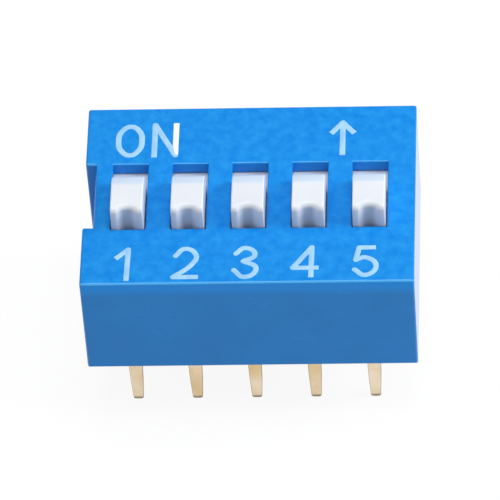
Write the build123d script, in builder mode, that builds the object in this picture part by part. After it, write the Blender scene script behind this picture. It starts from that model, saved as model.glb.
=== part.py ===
"""Slide DIP switch with five positions, for through holes in a circuit board.

Frame, in millimetres: the origin is the centre of the seating plane, where the
rim of the cover stands on the board. +X runs along the row from position 1 to
position 5, +Y points to the ON side and +Z points up, away from the board.
The sliders are in their OFF places.
"""

import os
from math import atan2, cos

from build123d import *

os.makedirs("parts", exist_ok=True)

# Layout on the board
position_count = 5
pitch = 2.54
row_spacing = 7.62

# Sliders, and the room they have in the windows of the cover
knob_width = 1.38
knob_length = 2.5
knob_rise = 1.14
knob_draft_angle = 0.5
knob_back_radius = 0.9
scoop_width = 1.1
scoop_depth = 0.21
slide_travel = 1.05
window_side_clearance = 0.06
window_end_clearance = 0.04
window_offset = 0.065
flange_thickness = 0.7
flange_overlap = 0.2
flange_side_clearance = 0.07
flange_top_clearance = 0.08
peg_radius = 0.25
peg_length = 0.3

# Cover
cover_height = 5.4
top_thickness = 0.58
side_wall = 0.7
end_wall = 0.9
notch_depth = 0.46
notch_length = 3.5
cover_edge_radius = 0.1
cover_corner_radius = 0.08
window_edge_radius = 0.06

# Base
base_recess = 0.25
base_clearance = 0.05
partition_thickness = 0.5
leg_skin = 0.215
bead_depth = 0.12
bead_height = 0.5
bead_end_margin = 2.0
snap_clearance = 0.03

# Terminals
terminal_thickness = 0.25
terminal_bend_radius = 0.275
pad_width = 1.1
pad_overlap = 0.35
pad_gap = 0.4
shoulder_depth = 0.6
leg_width = 0.64
tip_width = 0.42
tip_radius = 0.08
pin_length = 3.36

# Contact springs
leaf_thickness = 0.12
leaf_width = 1.0
leaf_flat_length = 0.98
leaf_bend_radius = 0.15
contact_reach = 1.45
curl_reach = 0.3
spring_height = 0.9
contact_gap = 0.03
peg_clearance = 0.025

# Cuts run past the faces they open by this much
overrun = 0.2

# Plan sizes that follow from the values above
channel_width = pitch - partition_thickness
cavity_length = (position_count - 1) * pitch + channel_width
cover_length = cavity_length + 2 * end_wall
base_length = cavity_length - 2 * base_clearance
base_width = row_spacing + terminal_thickness + 2 * leg_skin
cavity_width = base_width + 2 * base_clearance
cover_width = cavity_width + 2 * side_wall
window_width = knob_width + 2 * window_side_clearance
window_length = knob_length + slide_travel + 2 * window_end_clearance
flange_width = channel_width - 2 * flange_side_clearance
flange_length = window_length + slide_travel + 2 * flange_overlap
bead_length = base_length - 2 * bead_end_margin

# Levels above the seating plane
ceiling_level = cover_height - top_thickness
flange_top_level = ceiling_level - flange_top_clearance
flange_level = flange_top_level - flange_thickness
floor_level = flange_level - spring_height
pad_level = floor_level - terminal_thickness / 2
bead_level = (base_recess + floor_level) / 2
leaf_level = flange_level - leaf_thickness / 2

# Places along X of the positions, and along Y of the windows and of the sliders at rest
position_places = [(index - (position_count - 1) / 2) * pitch for index in range(position_count)]
window_place = -window_offset
off_place = window_place - slide_travel / 2


def write(part, name):
    """Label a finished piece and write it as a STEP file."""
    part.label = name
    export_step(part, f"parts/{name}.step")


def ridge_sections(wall_place, depth, length):
    """Sections of two snap ridges with sloped flanks, drawn at the -X end of that length.

    They stand out from the two long walls at wall_place, towards -Y and +Y.
    """
    half_height = bead_height / 2
    with BuildSketch(Plane.YZ.offset(-length / 2)) as sections:
        with BuildLine():
            Polyline(
                (wall_place - overrun, bead_level - half_height),
                (wall_place, bead_level - half_height),
                (wall_place + depth, bead_level - half_height + depth),
                (wall_place + depth, bead_level + half_height - depth),
                (wall_place, bead_level + half_height),
                (wall_place - overrun, bead_level + half_height),
                close=True,
            )
        make_face()
        mirror(about=Plane.YZ)
    return sections.sketch


def make_terminal(x_place, side, pad_end):
    """Stamped and bent terminal: a pad flush with the floor, and a leg that ends in a tapered pin.

    The leg is in the row at the given side (-1 or +1 along Y), and the pad reaches in to pad_end.
    """
    leg_place = side * row_spacing / 2
    half_outline = [
        (pad_width / 2, floor_level),
        (pad_width / 2, floor_level - shoulder_depth),
        (leg_width / 2, floor_level - shoulder_depth),
        (leg_width / 2, 0),
        (tip_width / 2, -pin_length),
    ]
    right_side = [(x_place + half, level) for half, level in half_outline]
    left_side = [(x_place - half, level) for half, level in reversed(half_outline)]
    with BuildPart() as terminal:
        with BuildSketch(Plane.YZ.offset(x_place)):
            with BuildLine():
                FilletPolyline(
                    (side * pad_end, pad_level),
                    (leg_place, pad_level),
                    (leg_place, -pin_length),
                    radius=terminal_bend_radius,
                )
            trace(line_width=terminal_thickness)
        extrude(amount=pad_width / 2, both=True)
        with BuildSketch(Plane.XZ) as outline:
            with BuildLine():
                Polyline(*right_side, *left_side, close=True)
            make_face()
            fillet(outline.vertices().group_by(Axis.Y)[0], tip_radius)
        extrude(amount=cover_width / 2, both=True, mode=Mode.INTERSECT)
    return terminal.part


def make_contact_spring(x_place, y_place):
    """Bent leaf that bridges the two pads: a flat seat on the slider's peg and two sprung feet."""
    seat_half = leaf_flat_length / 2
    arm_run = contact_reach - seat_half
    foot_level = floor_level + contact_gap + leaf_thickness / 2
    arm_angle = atan2(leaf_level - foot_level, arm_run)
    # The rounded foot stands above its corner point, so the corner is set lower by as much
    corner_level = foot_level - leaf_bend_radius * (1 / cos(arm_angle) - 1)
    curl_level = corner_level + curl_reach * (leaf_level - corner_level) / arm_run
    half_route = [
        (seat_half, leaf_level),
        (contact_reach, corner_level),
        (contact_reach + curl_reach, curl_level),
    ]
    on_side = [(y_place + reach, level) for reach, level in half_route]
    off_side = [(y_place - reach, level) for reach, level in reversed(half_route)]
    with BuildPart() as spring:
        with BuildSketch(Plane.YZ.offset(x_place)):
            with BuildLine():
                FilletPolyline(*off_side, *on_side, radius=leaf_bend_radius)
            trace(line_width=leaf_thickness)
        extrude(amount=leaf_width / 2, both=True)
        with BuildSketch(Plane.XY.offset(leaf_level)):
            with Locations((x_place, y_place)):
                Circle(peg_radius + peg_clearance)
        extrude(amount=leaf_thickness, both=True, mode=Mode.SUBTRACT)
    return spring.part


def make_slider(x_place, y_place):
    """Knob with a scooped front, a flange that closes the window from below, and a peg for the spring."""
    knob_level = cover_height + knob_rise
    scoop_radius = (scoop_width**2 / 4 + scoop_depth**2) / (2 * scoop_depth)
    with BuildPart() as slider:
        with BuildSketch(Plane.XY.offset(flange_level)):
            with Locations((x_place, y_place)):
                Rectangle(flange_width, flange_length)
        extrude(amount=flange_thickness)
        with BuildSketch(Plane.XY.offset(flange_top_level)):
            with Locations((x_place, y_place)):
                Rectangle(knob_width, knob_length)
        extrude(amount=cover_height - flange_top_level)
        with BuildSketch(Plane.XY.offset(cover_height)):
            with Locations((x_place, y_place)):
                Rectangle(knob_width, knob_length)
        extrude(amount=knob_rise, taper=knob_draft_angle)
        knob_top = slider.faces().sort_by(Axis.Z)[-1]
        fillet(knob_top.edges().sort_by(Axis.Y)[-1], knob_back_radius)
        with BuildSketch(Plane.XY.offset(flange_top_level)):
            with Locations((x_place, y_place - knob_length / 2 + scoop_depth - scoop_radius)):
                Circle(scoop_radius)
        extrude(amount=knob_level - flange_top_level + overrun, mode=Mode.SUBTRACT)
        with BuildSketch(Plane.XY.offset(flange_level)):
            with Locations((x_place, y_place)):
                Circle(peg_radius)
        extrude(amount=-peg_length)
    return slider.part


# Cover: a shell open below, with the windows and the end notch
with BuildPart() as cover:
    with BuildSketch() as plan:
        Rectangle(cover_length, cover_width)
        fillet(plan.vertices(), cover_corner_radius)
        with Locations((-cover_length / 2, 0)):
            Rectangle(2 * notch_depth, notch_length, mode=Mode.SUBTRACT)
    extrude(amount=cover_height)
    fillet(cover.faces().sort_by(Axis.Z)[-1].edges(), cover_edge_radius)
    with BuildSketch():
        Rectangle(cavity_length, cavity_width)
    extrude(amount=ceiling_level, mode=Mode.SUBTRACT)
    with BuildSketch(Plane.XY.offset(ceiling_level)):
        with Locations(*[(place, window_place) for place in position_places]):
            Rectangle(window_width, window_length)
    extrude(amount=top_thickness, mode=Mode.SUBTRACT)
    window_rims = cover.faces().sort_by(Axis.Z)[-1].inner_wires()
    fillet([edge for rim in window_rims for edge in rim.edges()], window_edge_radius)
    groove_depth = bead_depth - base_clearance + snap_clearance
    groove_length = bead_length + 2 * snap_clearance
    grooves = ridge_sections(cavity_width / 2, groove_depth, groove_length)
    extrude(grooves, amount=groove_length, mode=Mode.SUBTRACT)
write(cover.part, "cover")

# Terminals: the ON side's pads start where an OFF slider's foot doesn't reach
foot_inner_place = contact_reach - slide_travel / 2
terminals = []
for number, place in enumerate(position_places, start=1):
    terminals.append(make_terminal(place, -1, foot_inner_place - pad_overlap))
    write(terminals[-1], f"terminal_off_side_{number}")
    terminals.append(make_terminal(place, 1, foot_inner_place + pad_gap))
    write(terminals[-1], f"terminal_on_side_{number}")

# Base: a block moulded around the terminals, with partitions between the channels and snap beads
with BuildPart() as base:
    with BuildSketch(Plane.XY.offset(base_recess)):
        Rectangle(base_length, base_width)
    extrude(amount=floor_level - base_recess)
    with BuildSketch(Plane.XY.offset(floor_level)):
        with GridLocations(pitch, 0, position_count - 1, 1):
            Rectangle(partition_thickness, base_width)
    extrude(amount=ceiling_level - floor_level)
    beads = ridge_sections(base_width / 2, bead_depth, bead_length)
    extrude(beads, amount=bead_length)
    for terminal in terminals:
        add(terminal, mode=Mode.SUBTRACT)
write(base.part, "base")

# Sliders with their contact springs
for number, place in enumerate(position_places, start=1):
    write(make_slider(place, off_place), f"slider_{number}")
    write(make_contact_spring(place, off_place), f"contact_spring_{number}")
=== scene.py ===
"""Looks of a slide DIP switch with five positions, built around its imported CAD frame, in metres."""

from math import asin, cos, pi, radians, sin, tan

import bmesh
import bpy
from mathutils import Matrix, Vector


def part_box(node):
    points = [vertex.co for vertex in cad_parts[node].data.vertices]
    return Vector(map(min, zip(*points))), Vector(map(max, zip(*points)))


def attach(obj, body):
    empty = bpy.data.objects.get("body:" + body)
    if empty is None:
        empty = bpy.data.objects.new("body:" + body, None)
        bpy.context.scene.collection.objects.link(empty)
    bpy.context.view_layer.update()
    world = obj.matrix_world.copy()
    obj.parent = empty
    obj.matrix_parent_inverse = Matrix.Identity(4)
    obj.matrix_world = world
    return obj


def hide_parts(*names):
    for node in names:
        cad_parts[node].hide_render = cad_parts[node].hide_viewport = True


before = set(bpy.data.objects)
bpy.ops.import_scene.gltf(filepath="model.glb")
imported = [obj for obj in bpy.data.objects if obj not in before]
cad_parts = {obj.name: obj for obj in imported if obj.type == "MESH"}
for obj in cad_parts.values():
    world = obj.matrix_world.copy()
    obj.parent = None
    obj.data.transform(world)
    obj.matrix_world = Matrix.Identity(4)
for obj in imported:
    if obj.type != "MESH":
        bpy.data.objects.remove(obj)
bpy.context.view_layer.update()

MM = 0.001

# Sizes read from the frame
cover_low, cover_high = (Vector(corner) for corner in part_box("cover"))
pin_tip_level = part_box("terminal_off_side_1")[0][2]
cover_top = cover_high.z
POSITIONS = range(1, 6)

# Turns between faces: below the first an edge is shaded smooth, above the others it is rounded
SMOOTH_LIMIT = radians(50)
CORNER_TURN = radians(60)
KNOB_EDGE_TURN = radians(35)
STAMPED_EDGE_TURN = radians(40)
MERGE_DISTANCE = 0.0005 * MM

# Cover, as in the CAD part, with a small rounding on its rim
END_WALL = 0.9 * MM
SIDE_WALL = 0.7 * MM
TOP_THICKNESS = 0.58 * MM
WINDOW_WIDTH = 1.5 * MM
WINDOW_LENGTH = 3.63 * MM
WINDOW_PLACE = -0.065 * MM
NOTCH_DEPTH = 0.46 * MM
NOTCH_LENGTH = 3.5 * MM
COVER_EDGE_RADIUS = 0.1 * MM
COVER_RIM_RADIUS = 0.02 * MM
WINDOW_EDGE_RADIUS = 0.06 * MM

# Sliders, as in the CAD part, but with softer edges and a narrower scoop on the knobs
KNOB_WIDTH = 1.38 * MM
KNOB_LENGTH = 2.5 * MM
KNOB_DRAFT = radians(0.5)
KNOB_BACK_RADIUS = 1.1 * MM
KNOB_FRONT_RADIUS = 0.26 * MM
KNOB_EDGE_RADIUS = 0.06 * MM
FLANGE_EDGE_RADIUS = 0.04 * MM
SCOOP_WIDTH = 0.86 * MM
SCOOP_DEPTH = 0.21 * MM
FLANGE_THICKNESS = 0.7 * MM
PEG_RADIUS = 0.25 * MM
PEG_LENGTH = 0.3 * MM

# Terminals, as in the CAD part, but with slightly fuller pins and rolled edges
SHEET_THICKNESS = 0.25 * MM
PAD_WIDTH = 1.1 * MM
BEND_RADIUS = 0.275 * MM
SHOULDER_DEPTH = 0.6 * MM
LEG_WIDTH = 0.64 * MM
TAPER_START_SHARE = 0.65
TAPER_START_WIDTH = 0.535 * MM
TIP_WIDTH = 0.42 * MM
STAMPED_EDGE_RADIUS = 0.035 * MM
DARK_TIP_LENGTH = 0.24 * MM
TIP_CORNER_RADIUS = 0.1 * MM

# Print on the cover
INK_THICKNESS = 0.012 * MM
LETTER_STROKE = 0.24 * MM
DIGIT_STROKE = 0.225 * MM


def position_place(number):
    """Centre of a position along X, from its slider in the frame."""
    low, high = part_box(f"slider_{number}")
    return (low[0] + high[0]) / 2


def put_in_scene(bm, name, material, body, replaced=None):
    """Turn a bmesh into a smooth-shaded piece that rides on a body."""
    bmesh.ops.remove_doubles(bm, verts=bm.verts, dist=MERGE_DISTANCE)
    bmesh.ops.recalc_face_normals(bm, faces=bm.faces)
    for face in bm.faces:
        face.smooth = True
    for edge in bm.edges:
        edge.smooth = edge.is_manifold and edge.calc_face_angle() < SMOOTH_LIMIT
    mesh = bpy.data.meshes.new(name)
    bm.to_mesh(mesh)
    bm.free()
    mesh.materials.append(material)
    piece = bpy.data.objects.new(name, mesh)
    bpy.context.collection.objects.link(piece)
    even = piece.modifiers.new("even shading", "WEIGHTED_NORMAL")
    even.keep_sharp = True
    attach(piece, body)
    if replaced:
        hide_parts(replaced)


def moved_verts(extruded):
    """The vertices among what an extrude operator returns."""
    return [item for item in extruded["geom"] if isinstance(item, bmesh.types.BMVert)]


def extrude_faces(bm, faces, offset):
    """Extrude faces as one region, move the new ones by offset and return them.

    Faces that were part of a larger surface would stay inside the piece, so they are deleted.
    """
    region = set(faces)
    edges = {edge for face in faces for edge in face.edges}
    joined = any(face not in region for edge in edges for face in edge.link_faces)
    extruded = bmesh.ops.extrude_face_region(bm, geom=faces)
    bmesh.ops.translate(bm, verts=moved_verts(extruded), vec=offset)
    if joined:
        bmesh.ops.delete(bm, geom=faces, context="FACES")
    return [item for item in extruded["geom"] if isinstance(item, bmesh.types.BMFace)]


def round_edges(bm, edges, radius, segments):
    """Round the given edges."""
    bmesh.ops.bevel(
        bm, geom=edges, offset=radius, offset_type="OFFSET", affect="EDGES", segments=segments,
        profile=0.5, material=-1, clamp_overlap=True,
    )


def sharp_edges(bm, smallest_angle):
    """Edges that turn outwards by more than an angle."""
    return [edge for edge in bm.edges if edge.is_manifold and edge.calc_face_angle_signed() > smallest_angle]


def upper_level(edge):
    """Level of the higher end of an edge."""
    return max(vert.co.z for vert in edge.verts)


# Cover

def model_cover():
    """Five-sided shell with five windows and the end notch, all edges slightly rounded."""
    bm = bmesh.new()
    centre = (cover_low + cover_high) / 2
    size = cover_high - cover_low
    bmesh.ops.create_grid(bm, x_segments=1, y_segments=1, size=0.5)
    bmesh.ops.scale(bm, verts=bm.verts, vec=(size.x, size.y, 1))
    bmesh.ops.translate(bm, verts=bm.verts, vec=(centre.x, centre.y, cover_top))

    x_cuts = [cover_low.x + NOTCH_DEPTH, cover_low.x + END_WALL, cover_high.x - END_WALL]
    for number in POSITIONS:
        x_cuts += [position_place(number) - WINDOW_WIDTH / 2, position_place(number) + WINDOW_WIDTH / 2]
    y_cuts = [cover_low.y + SIDE_WALL, cover_high.y - SIDE_WALL, -NOTCH_LENGTH / 2, NOTCH_LENGTH / 2]
    y_cuts += [WINDOW_PLACE - WINDOW_LENGTH / 2, WINDOW_PLACE + WINDOW_LENGTH / 2]
    # The notch and the windows share a line at the back, which is cut once, so places are rounded to 1 um
    y_cuts = sorted({round(place, 6) for place in y_cuts})
    cuts = [((place, 0, 0), (1, 0, 0)) for place in x_cuts]
    cuts += [((0, place, 0), (0, 1, 0)) for place in y_cuts]
    for point, normal in cuts:
        everything = bm.verts[:] + bm.edges[:] + bm.faces[:]
        bmesh.ops.bisect_plane(bm, geom=everything, plane_co=point, plane_no=normal)

    def across_window(spot):
        return min(abs(spot.x - position_place(number)) for number in POSITIONS)

    def is_open(face):
        spot = face.calc_center_median()
        along = abs(spot.y - WINDOW_PLACE)
        in_window = across_window(spot) < WINDOW_WIDTH / 2 and along < WINDOW_LENGTH / 2
        in_notch = spot.x < cover_low.x + NOTCH_DEPTH and abs(spot.y) < NOTCH_LENGTH / 2
        return in_window or in_notch

    bmesh.ops.delete(bm, geom=[face for face in bm.faces if is_open(face)], context="FACES")
    ceiling = extrude_faces(bm, bm.faces[:], (0, 0, -TOP_THICKNESS))

    def is_wall(face):
        spot = face.calc_center_median()
        inside_x = cover_low.x + END_WALL < spot.x < cover_high.x - END_WALL
        return not (inside_x and abs(spot.y) < size.y / 2 - SIDE_WALL)

    wall_height = size.z - TOP_THICKNESS
    extrude_faces(bm, [face for face in ceiling if is_wall(face)], (0, 0, -wall_height))
    bmesh.ops.recalc_face_normals(bm, faces=bm.faces)

    def on_window_rim(edge):
        spot = (edge.verts[0].co + edge.verts[1].co) / 2
        near_x = across_window(spot) < WINDOW_WIDTH / 2 + COVER_EDGE_RADIUS
        near_y = abs(spot.y - WINDOW_PLACE) < WINDOW_LENGTH / 2 + COVER_EDGE_RADIUS
        return near_x and near_y and spot.z > cover_top - COVER_EDGE_RADIUS

    def on_outer_edge(edge):
        spot = (edge.verts[0].co + edge.verts[1].co) / 2
        cavity_low = cover_low.x + END_WALL - COVER_EDGE_RADIUS
        cavity_high = cover_high.x - END_WALL + COVER_EDGE_RADIUS
        near_cavity = abs(spot.y) < size.y / 2 - SIDE_WALL + COVER_EDGE_RADIUS
        return not (near_cavity and cavity_low < spot.x < cavity_high)

    rim_level = cover_low.z + COVER_RIM_RADIUS
    windows = [edge for edge in sharp_edges(bm, CORNER_TURN) if on_window_rim(edge)]
    round_edges(bm, windows, WINDOW_EDGE_RADIUS, segments=3)
    outer = [edge for edge in sharp_edges(bm, CORNER_TURN) if on_outer_edge(edge)]
    round_edges(bm, [edge for edge in outer if upper_level(edge) > rim_level], COVER_EDGE_RADIUS, segments=4)
    outer = [edge for edge in sharp_edges(bm, CORNER_TURN) if on_outer_edge(edge)]
    round_edges(bm, [edge for edge in outer if upper_level(edge) < rim_level], COVER_RIM_RADIUS, segments=2)
    put_in_scene(bm, "cover_shell", cover_plastic, "housing", "cover")


# Sliders

def model_slider(number):
    """Knob with a scooped front and drafted sides, on its flange, with the peg below."""
    low, high = (Vector(corner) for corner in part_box(f"slider_{number}"))
    place = Vector(((low.x + high.x) / 2, (low.y + high.y) / 2, 0))
    flange_bottom = low.z + PEG_LENGTH
    flange_top = flange_bottom + FLANGE_THICKNESS
    half_width = KNOB_WIDTH / 2
    half_length = KNOB_LENGTH / 2
    scoop_radius = (SCOOP_WIDTH**2 / 4 + SCOOP_DEPTH**2) / (2 * SCOOP_DEPTH)
    scoop_centre = place + Vector((0, -half_length + SCOOP_DEPTH - scoop_radius, flange_top))
    half_sweep = asin(SCOOP_WIDTH / 2 / scoop_radius)

    # Plan outline of the neck at the flange: the scoop is spun, the rest is straight
    bm = bmesh.new()
    corner = [
        bm.verts.new(place + Vector((side_x * half_width, side_y * half_length, flange_top)))
        for side_x, side_y in ((-1, -1), (-1, 1), (1, 1), (1, -1))
    ]
    scoop_end = bm.verts.new(place + Vector((SCOOP_WIDTH / 2, -half_length, flange_top)))
    spun = bmesh.ops.spin(
        bm, geom=[scoop_end], cent=scoop_centre, axis=(0, 0, 1), angle=2 * half_sweep, steps=8,
    )
    scoop_start = next(item for item in spun["geom_last"] if isinstance(item, bmesh.types.BMVert))
    for first, second in zip(corner, corner[1:]):
        bm.edges.new((first, second))
    bm.edges.new((corner[3], scoop_end))
    bm.edges.new((scoop_start, corner[0]))
    outline = bm.edges[:]
    neck = bmesh.ops.contextual_create(bm, geom=outline)["faces"]

    # Flange: the outline's rim is spread to the flange's rectangle, then drawn down and closed
    rim = bmesh.ops.extrude_edge_only(bm, edges=outline)
    for vert in moved_verts(rim):
        offset = vert.co - place
        vert.co.x = place.x + offset.x / half_width * (high.x - low.x) / 2
        vert.co.y = high.y if offset.y > 0 else low.y
    rim_edges = [item for item in rim["geom"] if isinstance(item, bmesh.types.BMEdge)]
    skirt = bmesh.ops.extrude_edge_only(bm, edges=rim_edges)
    bmesh.ops.translate(bm, verts=moved_verts(skirt), vec=(0, 0, -FLANGE_THICKNESS))
    skirt_edges = [item for item in skirt["geom"] if isinstance(item, bmesh.types.BMEdge)]
    bmesh.ops.contextual_create(bm, geom=skirt_edges)

    # Neck through the window, then the knob with its draft
    knob_foot = extrude_faces(bm, neck, (0, 0, cover_top - flange_top))
    knob_top = extrude_faces(bm, knob_foot, (0, 0, high.z - cover_top))
    inset = (high.z - cover_top) * tan(KNOB_DRAFT)
    top_verts = [vert for face in knob_top for vert in face.verts]
    draft = ((half_width - inset) / half_width, (half_length - inset) / half_length, 1)
    bmesh.ops.scale(bm, vec=draft, verts=top_verts, space=Matrix.Translation(-place))
    bmesh.ops.recalc_face_normals(bm, faces=bm.faces)

    # Rounded back, which is the top edge furthest along Y, and softer front edge, then all other edges
    back = max(bm.edges, key=lambda edge: sum((vert.co.y - place.y) / 2 + vert.co.z for vert in edge.verts))
    round_edges(bm, [back], KNOB_BACK_RADIUS, segments=8)
    front_edges = [
        edge for edge in sharp_edges(bm, CORNER_TURN)
        if min(vert.co.z for vert in edge.verts) > high.z - KNOB_EDGE_RADIUS
        and max(vert.co.y for vert in edge.verts) < place.y - half_length + SCOOP_DEPTH + KNOB_EDGE_RADIUS
    ]
    round_edges(bm, front_edges, KNOB_FRONT_RADIUS, segments=5)
    neck_level = flange_top + FLANGE_EDGE_RADIUS
    knob_edges = [edge for edge in sharp_edges(bm, KNOB_EDGE_TURN) if upper_level(edge) > neck_level]
    round_edges(bm, knob_edges, KNOB_EDGE_RADIUS, segments=4)
    flange_edges = [edge for edge in sharp_edges(bm, CORNER_TURN) if upper_level(edge) < neck_level]
    round_edges(bm, flange_edges, FLANGE_EDGE_RADIUS, segments=2)

    # The peg starts inside the flange
    peg_level = flange_bottom - PEG_LENGTH / 2 + FLANGE_EDGE_RADIUS / 2
    bmesh.ops.create_cone(
        bm, cap_ends=True, segments=24, radius1=PEG_RADIUS, radius2=PEG_RADIUS,
        depth=PEG_LENGTH + FLANGE_EDGE_RADIUS, matrix=Matrix.Translation((place.x, place.y, peg_level)),
    )
    put_in_scene(
        bm, f"slider_body_{number}", slider_plastic, f"slide_{number}", f"slider_{number}",
    )


# Terminals

def model_terminal(node, side):
    """Stamped and bent sheet: pad, bend, shoulders, leg and tapered pin, with rolled edges."""
    low, high = (Vector(corner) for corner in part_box(node))
    place = (low.x + high.x) / 2
    pad_end = high.y if side < 0 else low.y
    leg_middle = (low.y if side < 0 else high.y) - side * SHEET_THICKNESS / 2
    pad_middle = high.z - SHEET_THICKNESS / 2
    bend_start = leg_middle - side * BEND_RADIUS

    bm = bmesh.new()
    bmesh.ops.create_grid(bm, x_segments=1, y_segments=1, size=0.5)
    bmesh.ops.scale(bm, verts=bm.verts, vec=(PAD_WIDTH, SHEET_THICKNESS, 1))
    bmesh.ops.rotate(bm, verts=bm.verts, cent=(0, 0, 0), matrix=Matrix.Rotation(pi / 2, 3, "X"))
    bmesh.ops.translate(bm, verts=bm.verts, vec=(place, pad_end, pad_middle))
    pad = extrude_faces(bm, bm.faces[:], (0, bend_start - pad_end, 0))
    bend_bottom = pad_middle - BEND_RADIUS
    bent = bmesh.ops.spin(
        bm, geom=pad, cent=(place, bend_start, bend_bottom), axis=(-side, 0, 0), angle=pi / 2, steps=6,
    )
    bmesh.ops.delete(bm, geom=pad, context="FACES_ONLY")
    bend = [item for item in bent["geom_last"] if isinstance(item, bmesh.types.BMFace)]
    wide_leg = extrude_faces(bm, bend, (0, 0, high.z - SHOULDER_DEPTH - bend_bottom))

    def narrow(faces, width_ratio):
        verts = list({vert for face in faces for vert in face.verts})
        around_leg = Matrix.Translation((-place, 0, 0))
        bmesh.ops.scale(bm, vec=(width_ratio, 1, 1), verts=verts, space=around_leg)

    leg = extrude_faces(bm, wide_leg, (0, 0, 0))
    narrow(leg, LEG_WIDTH / PAD_WIDTH)
    leg = extrude_faces(bm, leg, (0, 0, SHOULDER_DEPTH - high.z))
    pin = extrude_faces(bm, leg, (0, 0, low.z * TAPER_START_SHARE))
    narrow(pin, TAPER_START_WIDTH / LEG_WIDTH)
    pin = extrude_faces(bm, pin, (0, 0, low.z * (1 - TAPER_START_SHARE)))
    narrow(pin, TIP_WIDTH / TAPER_START_WIDTH)
    bmesh.ops.recalc_face_normals(bm, faces=bm.faces)
    tip_corners = [
        edge for edge in bm.edges
        if upper_level(edge) < low.z + STAMPED_EDGE_RADIUS
        and abs(edge.verts[0].co.x - edge.verts[1].co.x) < STAMPED_EDGE_RADIUS
    ]
    round_edges(bm, tip_corners, TIP_CORNER_RADIUS, segments=5)
    round_edges(bm, sharp_edges(bm, STAMPED_EDGE_TURN), STAMPED_EDGE_RADIUS, segments=2)
    put_in_scene(bm, f"{node}_metal", plated_metal, "housing", node)


# Print

def ink_strokes(name, strokes, width, material, closed=False):
    """Raised ink lines on the cover: each stroke is a list of (x, y, corner or curve) on the top face.

    A stroke that ends in a corner is cut square there, and one that ends in a curve is rounded.
    """
    curve = bpy.data.curves.new(name, "CURVE")
    curve.dimensions = "3D"
    curve.bevel_depth = width / 2
    curve.bevel_resolution = 4
    curve.resolution_u = 10
    curve.use_fill_caps = True
    lines = []
    rounded = []
    for stroke in strokes:
        lines.append([stroke[0]])
        for spot in stroke[1:]:
            lines[-1].append(spot)
            if spot[2] == "corner" and spot is not stroke[-1]:
                lines.append([spot])
                rounded.append(spot)
        if not closed:
            rounded += [spot for spot in (stroke[0], stroke[-1]) if spot[2] == "curve"]
    for line in lines:
        spline = curve.splines.new("BEZIER")
        spline.use_cyclic_u = closed
        spline.bezier_points.add(len(line) - 1)
        for point, (x, y, kind) in zip(spline.bezier_points, line):
            point.co = (x, y, 0)
            handle = "VECTOR" if kind == "corner" else "AUTO"
            point.handle_left_type = handle
            point.handle_right_type = handle
    drawing = bpy.data.objects.new(name, curve)
    bpy.context.collection.objects.link(drawing)
    bpy.context.view_layer.update()
    traced = bpy.data.meshes.new_from_object(drawing)
    bpy.data.objects.remove(drawing)
    bm = bmesh.new()
    bm.from_mesh(traced)
    for x, y, _ in rounded:
        bmesh.ops.create_uvsphere(
            bm, u_segments=20, v_segments=10, radius=width / 2, matrix=Matrix.Translation((x, y, 0)),
        )
    bmesh.ops.scale(bm, verts=bm.verts, vec=(1, 1, INK_THICKNESS / (width / 2)))
    bmesh.ops.translate(bm, verts=bm.verts, vec=(0, 0, cover_top))
    put_in_scene(bm, name, material, "housing")


DIGIT_BASELINE = -4.6 * MM
DIGIT_HEIGHT = 1.6 * MM
# Strokes of the digits as shares of their height, from the middle of the baseline
DIGIT_SHARES = {
    1: [[(-0.28, 0.68, "corner"), (0.05, 1.0, "corner"), (0.025, -0.08, "corner")]],
    2: [[(-0.29, 0.76, "curve"), (-0.04, 1.0, "curve"), (0.25, 0.76, "curve"), (0.17, 0.50, "curve"),
         (-0.34, 0.03, "corner"), (0.32, 0.03, "corner")]],
    3: [[(-0.30, 0.81, "curve"), (-0.06, 1.0, "curve"), (0.20, 0.77, "curve"), (-0.10, 0.55, "corner"),
         (0.24, 0.30, "curve"), (-0.06, 0.01, "curve"), (-0.34, 0.25, "curve")]],
    4: [[(0.09, -0.035, "corner"), (0.10, 1.0, "corner"), (-0.39, 0.30, "corner"), (0.29, 0.30, "corner")]],
    5: [[(0.19, 0.97, "corner"), (-0.25, 0.97, "corner"), (-0.33, 0.55, "corner"), (-0.08, 0.63, "curve"),
         (0.20, 0.34, "curve"), (-0.08, 0.03, "curve"), (-0.36, 0.22, "curve")]],
}
LETTER_BASELINE = 2.22 * MM
LETTER_HEIGHT = 1.72 * MM
RING_CENTRE = (-5.15 * MM, 3.05 * MM)
RING_HALF_WIDTH = 0.5 * MM
RING_HALF_HEIGHT = 0.81 * MM
RING_POINTS = 8
STEMS = (-4.11 * MM, -3.21 * MM)
ARROW_PLACE = 3.88 * MM
ARROW_HALF_WIDTH = 0.5 * MM
ARROW_HEAD_HEIGHT = 0.62 * MM


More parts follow.
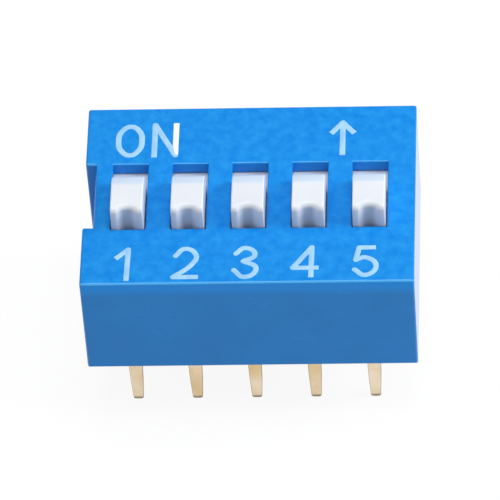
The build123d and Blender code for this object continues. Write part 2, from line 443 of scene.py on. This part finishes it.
def print_cover():
    """The digits at the OFF side, the word at the ON side and a plain arrow towards it."""
    for number, strokes in DIGIT_SHARES.items():
        middle = position_place(number)
        placed = [
            [(middle + x * DIGIT_HEIGHT, DIGIT_BASELINE + y * DIGIT_HEIGHT, kind) for x, y, kind in stroke]
            for stroke in strokes
        ]
        ink_strokes(f"print_digit_{number}", placed, DIGIT_STROKE, thin_ink)

    ring = []
    for step in range(RING_POINTS):
        turn = 2 * pi * step / RING_POINTS
        x = RING_CENTRE[0] + RING_HALF_WIDTH * sin(turn)
        y = RING_CENTRE[1] + RING_HALF_HEIGHT * cos(turn)
        ring.append((x, y, "curve"))
    top = LETTER_BASELINE + LETTER_HEIGHT
    left, right = STEMS
    first_strokes = [
        (left, LETTER_BASELINE - LETTER_STROKE / 2, "corner"),
        (left, top, "corner"),
        (right, LETTER_BASELINE, "curve"),
    ]
    ink_strokes("print_on_word_ring", [ring], LETTER_STROKE, thin_ink, closed=True)
    ink_strokes("print_on_word_stem", [first_strokes], LETTER_STROKE, thin_ink)
    # The last stem starts in the rounded foot of the slanted stroke
    last_stroke = [
        (right, LETTER_BASELINE + LETTER_STROKE / 8, "corner"),
        (right, top + LETTER_STROKE / 3, "corner"),
    ]
    ink_strokes("print_on_word_last_stem", [last_stroke], LETTER_STROKE, dense_ink)

    shaft = [(ARROW_PLACE, LETTER_BASELINE - LETTER_STROKE / 2, "corner"), (ARROW_PLACE, top, "corner")]
    head = [
        (ARROW_PLACE - ARROW_HALF_WIDTH, top - ARROW_HEAD_HEIGHT, "corner"),
        (ARROW_PLACE, top, "corner"),
        (ARROW_PLACE + ARROW_HALF_WIDTH, top - ARROW_HEAD_HEIGHT, "corner"),
    ]
    ink_strokes("print_arrow", [shaft, head], LETTER_STROKE, thin_ink)


# Materials

# Scales of the patterns, and the stretch that turns one of them into streaks down the leg
MOTTLE_SCALE = 2200.0
BLOTCH_SCALE = 450.0
STREAK_SCALE = 1500.0
STREAK_STRETCH = (6.0, 6.0, 0.6)
INK_WEAR_SCALE = 1800.0
# Values between which most of a noise lies
NOISE_LOW = 0.3
NOISE_HIGH = 0.7
# How far the roughness swings around its middle
PLASTIC_SWING = 0.05
METAL_SWING_DOWN = 0.06
METAL_SWING_UP = 0.08
BUMP_DEPTH = 0.01 * MM
STREAK_BUMP = 0.15
INK_ROUGHNESS = (0.5, 0.6)
INK_SPECULAR = 0.3
# Painted reflection: a purer blue band along the top of the cover's front, standing in for less of the floor
# being reflected there, no deeper than its skin
BAND_HEIGHT = 0.95 * MM
BAND_SKIN = 0.05 * MM


def new_group(name, inputs, outputs):
    """Empty shader group with float inputs, given with their defaults, and named outputs."""
    group = bpy.data.node_groups.new(name, "ShaderNodeTree")
    for label, value in inputs.items():
        socket = group.interface.new_socket(label, in_out="INPUT", socket_type="NodeSocketFloat")
        socket.default_value = value
    for label in outputs:
        group.interface.new_socket(label, in_out="OUTPUT", socket_type="NodeSocketFloat")
    entry = group.nodes.new("NodeGroupInput")
    leave = group.nodes.new("NodeGroupOutput")
    return group, entry, leave


def object_place(tree):
    """Object coordinates."""
    return tree.nodes.new("ShaderNodeTexCoord").outputs["Object"]


def split(tree, vector):
    """The X, Y and Z of a vector."""
    node = tree.nodes.new("ShaderNodeSeparateXYZ")
    tree.links.new(vector, node.inputs["Vector"])
    return node.outputs


def place_group(tree, group):
    """Put a shader group into a tree and return its outputs."""
    node = tree.nodes.new("ShaderNodeGroup")
    node.node_tree = group
    return node.outputs


def add_noise(tree, coordinates, scale, detail, roughness=0.5):
    """Noise texture on given coordinates."""
    noise = tree.nodes.new("ShaderNodeTexNoise")
    noise.inputs["Detail"].default_value = detail
    noise.inputs["Roughness"].default_value = roughness
    tree.links.new(coordinates, noise.inputs["Vector"])
    if isinstance(scale, float):
        noise.inputs["Scale"].default_value = scale
    else:
        tree.links.new(scale, noise.inputs["Scale"])
    return noise.outputs["Fac"]


def moulded_skin_group():
    """Skin of a moulded piece: a cloudy flow mask, and the height of its eroded mould texture."""
    group, entry, leave = new_group(
        "moulded skin",
        {"Cloud Scale": 400.0, "Grain Scale": 9000.0, "Ripple Share": 0.25},
        ["Cloud", "Height"],
    )
    place = object_place(group)
    cloud = add_noise(group, place, entry.outputs["Cloud Scale"], detail=4.0, roughness=0.55)
    grain = add_noise(group, place, entry.outputs["Grain Scale"], detail=2.0, roughness=0.6)
    mix = group.nodes.new("ShaderNodeMix")
    group.links.new(entry.outputs["Ripple Share"], mix.inputs["Factor"])
    group.links.new(grain, mix.inputs["A"])
    group.links.new(cloud, mix.inputs["B"])
    group.links.new(cloud, leave.inputs["Cloud"])
    group.links.new(mix.outputs["Result"], leave.inputs["Height"])
    return group


def ramp(tree, value, stops):
    """Colour ramp with (place, colour) stops."""
    node = tree.nodes.new("ShaderNodeValToRGB")
    elements = node.color_ramp.elements
    while len(elements) < len(stops):
        elements.new(0.5)
    for element, (place, colour) in zip(elements, stops):
        element.position = place
        element.color = (*colour, 1)
    tree.links.new(value, node.inputs["Fac"])
    return node.outputs["Color"]


def spread(tree, value, low, high):
    """Map a mask to a range of plain values."""
    node = tree.nodes.new("ShaderNodeMapRange")
    node.inputs["From Min"].default_value = NOISE_LOW
    node.inputs["From Max"].default_value = NOISE_HIGH
    node.inputs["To Min"].default_value = low
    node.inputs["To Max"].default_value = high
    tree.links.new(value, node.inputs["Value"])
    return node.outputs["Result"]


def add_bump(tree, height, shader, strength, distance):
    """Bump from a height into a shader's normal."""
    bump = tree.nodes.new("ShaderNodeBump")
    bump.inputs["Strength"].default_value = strength
    bump.inputs["Distance"].default_value = distance
    tree.links.new(height, bump.inputs["Height"])
    tree.links.new(bump.outputs["Normal"], shader.inputs["Normal"])


def add_math(tree, operation, first, second=None):
    """Math node on one or two linked values."""
    node = tree.nodes.new("ShaderNodeMath")
    node.operation = operation
    tree.links.new(first, node.inputs[0])
    if second:
        tree.links.new(second, node.inputs[1])
    return node.outputs[0]


def step_mask(tree, value, none_at, full_at):
    """Soft step from 0 to 1 between two values."""
    node = tree.nodes.new("ShaderNodeMapRange")
    node.interpolation_type = "SMOOTHSTEP"
    node.inputs["From Min"].default_value = none_at
    node.inputs["From Max"].default_value = full_at
    tree.links.new(value, node.inputs["Value"])
    return node.outputs["Result"]


def facing_group():
    """Masks from the way a face looks: tops, upper front edges, fronts, upper backs, sides and ends."""
    group, _, leave = new_group("facing", {}, ["Top", "Edge", "Front", "Back", "Side", "End"])
    facing = split(group, group.nodes.new("ShaderNodeTexCoord").outputs["Normal"])
    along_x = add_math(group, "ABSOLUTE", facing["X"])
    to_front = step_mask(group, facing["Y"], none_at=-0.15, full_at=-0.5)
    to_back = step_mask(group, facing["Y"], none_at=0.0, full_at=0.2)
    to_top = step_mask(group, facing["Z"], none_at=0.15, full_at=0.5)
    upright = step_mask(group, facing["Z"], none_at=0.6, full_at=0.1)
    masks = {
        "Top": step_mask(group, facing["Z"], none_at=0.9, full_at=0.99),
        "Edge": add_math(group, "MULTIPLY", to_front, to_top),
        "Front": add_math(group, "MULTIPLY", to_front, upright),
        "Back": add_math(group, "MULTIPLY", to_back, to_top),
        "Side": step_mask(group, along_x, none_at=0.25, full_at=0.75),
        "End": step_mask(group, along_x, none_at=0.7, full_at=0.95),
    }
    for label, mask in masks.items():
        group.links.new(mask, leave.inputs[label])
    return group


def blend(tree, mask, first, second, kind="FLOAT"):
    """Mix by a mask from one value to another, which are linked or plain."""
    mix = tree.nodes.new("ShaderNodeMix")
    mix.data_type = kind
    sockets = [socket for socket in mix.inputs if socket.enabled]
    tree.links.new(mask, sockets[0])
    for value, socket in ((first, sockets[1]), (second, sockets[2])):
        if isinstance(value, bpy.types.NodeSocket):
            tree.links.new(value, socket)
        else:
            socket.default_value = value
    return next(socket for socket in mix.outputs if socket.enabled)


def new_material(name):
    """Material with its node tree and Principled shader."""
    material = bpy.data.materials.new(name)
    material.use_nodes = True
    return material, material.node_tree, material.node_tree.nodes["Principled BSDF"]


def moulded_plastic(name, dark, light, roughness, specular, bump):
    """Moulded plastic: slightly cloudy colour, uneven gloss and a fine eroded texture."""
    material, tree, shader = new_material(name)
    skin = place_group(tree, skin_group)
    cloud = skin["Cloud"]
    colour = ramp(tree, cloud, [(NOISE_LOW, dark), (NOISE_HIGH, light)])
    rough = spread(tree, cloud, roughness - PLASTIC_SWING, roughness + PLASTIC_SWING)
    tree.links.new(colour, shader.inputs["Base Color"])
    tree.links.new(rough, shader.inputs["Roughness"])
    shader.inputs["Specular IOR Level"].default_value = specular
    add_bump(tree, skin["Height"], shader, bump, BUMP_DEPTH)
    return material


def finish_cover(material, dim, hazed, painted_reflection_band, painted_edge_highlight, polished):
    """Give the cover's plastic a mottled top, a purer blue band at the front as painted reflection, a
    painted highlight on the upper front edges and smooth ends.
    """
    tree = material.node_tree
    shader = tree.nodes["Principled BSDF"]
    facing = place_group(tree, facing_masks)
    place = object_place(tree)
    mottle = add_noise(tree, place, MOTTLE_SCALE, detail=4.0, roughness=0.6)
    top_colour = ramp(tree, mottle, [(0.32, dim), (0.68, hazed)])
    colour = shader.inputs["Base Color"].links[0].from_socket
    colour = blend(tree, facing["Top"], colour, top_colour, "RGBA")
    spot = split(tree, place)
    # Painted reflection: a purer, brighter blue along the top of the front, where less of the floor is
    # reflected
    on_front = step_mask(tree, spot["Y"], cover_low.y + BAND_SKIN, cover_low.y + BAND_SKIN / 5)
    near_top = step_mask(tree, spot["Z"], cover_top - BAND_HEIGHT, cover_top - BAND_HEIGHT / 3)
    colour = blend(tree, add_math(tree, "MULTIPLY", on_front, near_top), colour, (*painted_reflection_band, 1), "RGBA")
    # Painted highlight: a lighter blue on the upper front edges, standing in for the highlight there
    colour = blend(tree, facing["Edge"], colour, (*painted_edge_highlight, 1), "RGBA")
    tree.links.new(colour, shader.inputs["Base Color"])
    rough = shader.inputs["Roughness"].links[0].from_socket
    tree.links.new(blend(tree, facing["End"], rough, polished), shader.inputs["Roughness"])


def finish_sliders(material, painted_back_shade, painted_side_light, painted_lit_front, painted_scoop_shade):
    """Give the sliders' plastic painted shade on the upper backs, painted light on the sides, and painted
    light on the flat of the fronts with painted shade deep in the scoop.
    """
    tree = material.node_tree
    shader = tree.nodes["Principled BSDF"]
    facing = place_group(tree, facing_masks)
    colour = shader.inputs["Base Color"].links[0].from_socket
    # All sliders rest at the same place along Y
    low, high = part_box("slider_1")
    scoop_bottom = (low[1] + high[1] - KNOB_LENGTH) / 2 + SCOOP_DEPTH
    spot = split(tree, object_place(tree))
    # Painted light and shade: the flat of the fronts is paler, and deep in the scoop it is darker, as if
    # shaded
    in_scoop = step_mask(tree, spot["Y"], scoop_bottom - SCOOP_DEPTH / 2, scoop_bottom)
    front = blend(tree, in_scoop, (*painted_lit_front, 1), (*painted_scoop_shade, 1), "RGBA")
    colour = blend(tree, facing["Front"], colour, front, "RGBA")
    # Painted shade: the upper backs are darker and bluer, as if shaded and lit by the blue cover
    colour = blend(tree, facing["Back"], colour, (*painted_back_shade, 1), "RGBA")
    # Painted light: the sides are paler, as if lit from the side
    colour = blend(tree, facing["Side"], colour, (*painted_side_light, 1), "RGBA")
    tree.links.new(colour, shader.inputs["Base Color"])


def metal_plate(name, dull, bright, dark_tip_and_painted_side_shade, roughness):
    """Plated sheet metal: streaks down the leg, blotches in the plating, darker towards the tip, and painted
    shade on the sides.
    """
    material, tree, shader = new_material(name)
    place = object_place(tree)
    stretch = tree.nodes.new("ShaderNodeMapping")
    stretch.inputs["Scale"].default_value = STREAK_STRETCH
    tree.links.new(place, stretch.inputs["Vector"])
    blotch = add_noise(tree, place, BLOTCH_SCALE, detail=3.0)
    streak = add_noise(tree, stretch.outputs["Vector"], STREAK_SCALE, detail=3.0)
    plate = ramp(tree, blotch, [(0.35, dull), (0.65, bright)])
    level = split(tree, place)["Z"]
    # Darker towards the tip
    above_dark_tip = step_mask(tree, level, pin_tip_level + DARK_TIP_LENGTH / 4, pin_tip_level + DARK_TIP_LENGTH)
    facing = place_group(tree, facing_masks)
    colour = blend(tree, above_dark_tip, (*dark_tip_and_painted_side_shade, 1), plate, "RGBA")
    # Painted shade: the sides that face along X are darkened
    colour = blend(tree, facing["Side"], colour, (*dark_tip_and_painted_side_shade, 1), "RGBA")
    rough = spread(tree, streak, roughness - METAL_SWING_DOWN, roughness + METAL_SWING_UP)
    tree.links.new(colour, shader.inputs["Base Color"])
    tree.links.new(rough, shader.inputs["Roughness"])
    shader.inputs["Metallic"].default_value = 1.0
    add_bump(tree, streak, shader, STREAK_BUMP, BUMP_DEPTH)
    return material


def ink(name, worn, full):
    """Pad-printed ink: thin and a little uneven, so the plastic below tints it."""
    material, tree, shader = new_material(name)
    wear = add_noise(tree, object_place(tree), INK_WEAR_SCALE, detail=4.0)
    tree.links.new(ramp(tree, wear, [(0.35, worn), (0.62, full)]), shader.inputs["Base Color"])
    tree.links.new(spread(tree, wear, *INK_ROUGHNESS), shader.inputs["Roughness"])
    shader.inputs["Specular IOR Level"].default_value = INK_SPECULAR
    return material


skin_group = moulded_skin_group()
facing_masks = facing_group()
cover_plastic = moulded_plastic(
    "blue cover plastic", dark=(0.003, 0.245, 0.74), light=(0.006, 0.285, 0.82),
    roughness=0.24, specular=0.25, bump=0.12,
)
# The front band and edge colours are painted reflection and painted highlight
finish_cover(
    cover_plastic, dim=(0.0005, 0.225, 0.745), hazed=(0.013, 0.305, 0.81), painted_reflection_band=(0.0, 0.33, 1.0),
    painted_edge_highlight=(0.09, 0.48, 0.97), polished=0.12,
)
slider_plastic = moulded_plastic(
    "white slider plastic", dark=(0.74, 0.78, 0.85), light=(0.80, 0.84, 0.90),
    roughness=0.35, specular=0.4, bump=0.08,
)
# All four colours below are painted light and shade on the knobs
finish_sliders(
    slider_plastic, painted_back_shade=(0.62, 0.74, 0.91), painted_side_light=(0.93, 0.96, 1.0), painted_lit_front=(0.87, 0.88, 0.88),
    painted_scoop_shade=(0.66, 0.69, 0.72),
)
base_plastic = moulded_plastic(
    "black base plastic", dark=(0.018, 0.018, 0.02), light=(0.03, 0.03, 0.033),
    roughness=0.55, specular=0.4, bump=0.2,
)
# The dark colour is used towards the tip and as painted shade on the sides
plated_metal = metal_plate(
    "gold and tin plate", dull=(0.70, 0.50, 0.26), bright=(0.85, 0.72, 0.54), dark_tip_and_painted_side_shade=(0.24, 0.195, 0.14),
    roughness=0.3,
)
spring_metal = metal_plate(
    "spring bronze", dull=(0.60, 0.36, 0.18), bright=(0.74, 0.50, 0.28), dark_tip_and_painted_side_shade=(0.60, 0.36, 0.18),
    roughness=0.32,
)
thin_ink = ink("thin white ink", worn=(0.30, 0.58, 0.86), full=(0.40, 0.68, 0.93))
dense_ink = ink("dense white ink", worn=(0.86, 0.93, 0.96), full=(0.93, 0.97, 0.98))

# The pieces

def dress(node, material):
    """Give a CAD node its material."""
    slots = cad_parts[node].data.materials
    slots.clear()
    slots.append(material)


model_cover()
for number in POSITIONS:
    model_slider(number)
    model_terminal(f"terminal_off_side_{number}", -1)
    model_terminal(f"terminal_on_side_{number}", 1)
print_cover()
dress("base", base_plastic)
for number in POSITIONS:
    dress(f"contact_spring_{number}", spring_metal)

# Floor, light and camera

FLOOR_HALF = 1.0
FLOOR_WHITE = 0.68
FLOOR_GLOW = 0.85
FLOOR_GLOW_STRENGTH = 1.08
SKY_STRENGTH = 0.364
TOP_LIGHT = {"place": (0, 0.01, 0.16), "size": 0.08, "power": 0.112}
SIDE_LIGHT = {"place": (0.135, 0, 0.105), "size": 0.08, "power": 0.15}


def light_path_mask(tree, rays):
    """Largest of the named light path outputs."""
    path = tree.nodes.new("ShaderNodeLightPath")
    mask = path.outputs[rays[0]]
    for ray in rays[1:]:
        mask = add_math(tree, "MAXIMUM", mask, path.outputs[ray])
    return mask


def lay_floor():
    """Pale floor at the pin tips: it bounces light, and reads as white with a soft shadow."""
    bm = bmesh.new()
    bmesh.ops.create_grid(bm, x_segments=1, y_segments=1, size=FLOOR_HALF)
    bmesh.ops.translate(bm, verts=bm.verts, vec=(0, 0, pin_tip_level))
    mesh = bpy.data.meshes.new("floor")
    bm.to_mesh(mesh)
    bm.free()
    material = bpy.data.materials.new("pale floor")
    material.use_nodes = True
    tree = material.node_tree
    tree.nodes.clear()
    matte = tree.nodes.new("ShaderNodeBsdfDiffuse")
    matte.inputs["Color"].default_value = (FLOOR_WHITE, FLOOR_WHITE, FLOOR_WHITE, 1)
    glow = tree.nodes.new("ShaderNodeEmission")
    glow.inputs["Strength"].default_value = FLOOR_GLOW_STRENGTH
    seen = tree.nodes.new("ShaderNodeMath")
    seen.operation = "MULTIPLY"
    seen.inputs[1].default_value = FLOOR_GLOW
    tree.links.new(light_path_mask(tree, ["Is Camera Ray", "Is Glossy Ray"]), seen.inputs[0])
    mix = tree.nodes.new("ShaderNodeMixShader")
    tree.links.new(seen.outputs[0], mix.inputs["Fac"])
    tree.links.new(matte.outputs[0], mix.inputs[1])
    tree.links.new(glow.outputs[0], mix.inputs[2])
    leave = tree.nodes.new("ShaderNodeOutputMaterial")
    tree.links.new(mix.outputs[0], leave.inputs["Surface"])
    mesh.materials.append(material)
    floor = bpy.data.objects.new("floor", mesh)
    bpy.context.collection.objects.link(floor)


def light_scene():
    """Even white surround, one soft box above and one at the right."""
    world = bpy.data.worlds.new("white surround")
    bpy.context.scene.world = world
    world.use_nodes = True
    tree = world.node_tree
    background = tree.nodes["Background"]
    background.inputs["Color"].default_value = (1, 1, 1, 1)
    level = tree.nodes.new("ShaderNodeMapRange")
    level.inputs["To Min"].default_value = SKY_STRENGTH
    tree.links.new(light_path_mask(tree, ["Is Camera Ray", "Is Transmission Ray"]), level.inputs["Value"])
    tree.links.new(level.outputs["Result"], background.inputs["Strength"])
    boxes = {"top soft box": TOP_LIGHT, "side soft box": SIDE_LIGHT}
    for name, values in boxes.items():
        lamp = bpy.data.lights.new(name, "AREA")
        lamp.shape = "SQUARE"
        lamp.size = values["size"]
        lamp.energy = values["power"]
        box = bpy.data.objects.new(name, lamp)
        box.location = values["place"]
        box.rotation_euler = (-Vector(values["place"])).to_track_quat("-Z", "Y").to_euler()
        bpy.context.collection.objects.link(box)


# Camera: its place around the switch, with the small roll that the photograph has
CAMERA_AZIMUTH = radians(4.97)
CAMERA_ELEVATION = radians(49.47)
CAMERA_ROLL = radians(-4.50)
CAMERA_DISTANCE = 288.5 * MM
CLIP_START = 10 * MM
FOCAL_PIXELS = 6801
IMAGE_PIXELS = 500
SENSOR_MM = 36
AIM = Vector((0, 0, 3.0 * MM))
# How far the aim's image lies from the middle of the picture, in pixels to the right and down
AIM_PIXELS_RIGHT = 2.3
AIM_PIXELS_DOWN = -19.2


def place_camera():
    """Camera at the photograph's angle, turned so that no lens shift is needed."""
    reach = cos(CAMERA_ELEVATION)
    back = Vector((sin(CAMERA_AZIMUTH) * reach, -cos(CAMERA_AZIMUTH) * reach, sin(CAMERA_ELEVATION)))
    right = Vector((cos(CAMERA_AZIMUTH), sin(CAMERA_AZIMUTH), 0))
    level_up = back.cross(right)
    rolled_right = cos(CAMERA_ROLL) * right + sin(CAMERA_ROLL) * level_up
    rolled_up = back.cross(rolled_right)
    pixel = CAMERA_DISTANCE / FOCAL_PIXELS
    middle = AIM - AIM_PIXELS_RIGHT * pixel * rolled_right + AIM_PIXELS_DOWN * pixel * rolled_up
    data = bpy.data.cameras.new("camera")
    data.sensor_width = SENSOR_MM
    data.lens = FOCAL_PIXELS / IMAGE_PIXELS * SENSOR_MM
    data.clip_start = CLIP_START
    camera = bpy.data.objects.new("camera", data)
    turn = Matrix((rolled_right, rolled_up, back)).transposed()
    camera.matrix_world = Matrix.Translation(middle + CAMERA_DISTANCE * back) @ turn.to_4x4()
    bpy.context.collection.objects.link(camera)
    bpy.context.scene.camera = camera


lay_floor()
light_scene()
place_camera()
bpy.context.scene.view_settings.view_transform = "Standard"
